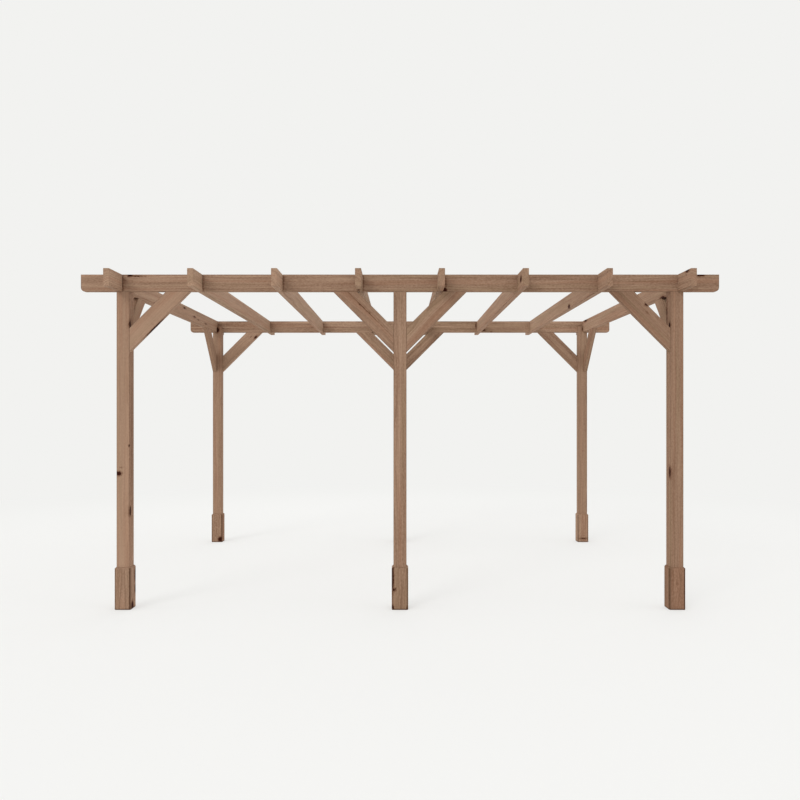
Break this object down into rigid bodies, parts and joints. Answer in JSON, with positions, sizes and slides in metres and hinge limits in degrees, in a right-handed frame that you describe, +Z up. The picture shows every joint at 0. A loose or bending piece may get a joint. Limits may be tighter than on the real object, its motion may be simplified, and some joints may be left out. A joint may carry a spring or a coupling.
{
  "type": "open timber garden pergola",
  "caption": "Free-standing open pergola: square posts with boxed feet carry long beams, rafters let into them and diagonal braces.",
  "frame": {"origin": "on the ground at the centre of the posts, which is the bottom centre of the bounding box", "axes": "+X along the long beams towards the right end, +Y from the front beam to the back beam, +Z up"},
  "size_m": [4.8, 3.71, 2.52],
  "materials": {
    "post_timber": "planed softwood, brown stain, semi-matt",
    "beam_timber": "planed softwood, brown stain, semi-matt",
    "rafter_timber": "planed softwood, brown stain, semi-matt",
    "brace_timber": "planed softwood, brown stain, semi-matt",
    "foot_boards": "planed softwood boards, brown stain, semi-matt"
  },
  "bodies": {
    "root": {"front_beam": "beam_timber", "front_left_post": "post_timber", "front_left_post_foot": "foot_boards", "front_left_beam_brace": "brace_timber", "front_left_rafter_brace": "brace_timber", "front_centre_post": "post_timber", "front_centre_post_foot": "foot_boards", "front_centre_left_beam_brace": "brace_timber", "front_centre_right_beam_brace": "brace_timber", "front_right_post": "post_timber", "front_right_post_foot": "foot_boards", "front_right_beam_brace": "brace_timber", "front_right_rafter_brace": "brace_timber", "back_beam": "beam_timber", "back_left_post": "post_timber", "back_left_post_foot": "foot_boards", "back_left_beam_brace": "brace_timber", "back_left_rafter_brace": "brace_timber", "back_centre_post": "post_timber", "back_centre_post_foot": "foot_boards", "back_centre_left_beam_brace": "brace_timber", "back_centre_right_beam_brace": "brace_timber", "back_right_post": "post_timber", "back_right_post_foot": "foot_boards", "back_right_beam_brace": "brace_timber", "back_right_rafter_brace": "brace_timber", "rafter_1": "rafter_timber", "rafter_2": "rafter_timber", "rafter_3": "rafter_timber", "rafter_4": "rafter_timber", "rafter_5": "rafter_timber", "rafter_6": "rafter_timber", "rafter_7": "rafter_timber", "rafter_8": "rafter_timber"}
  },
  "joints": []
}
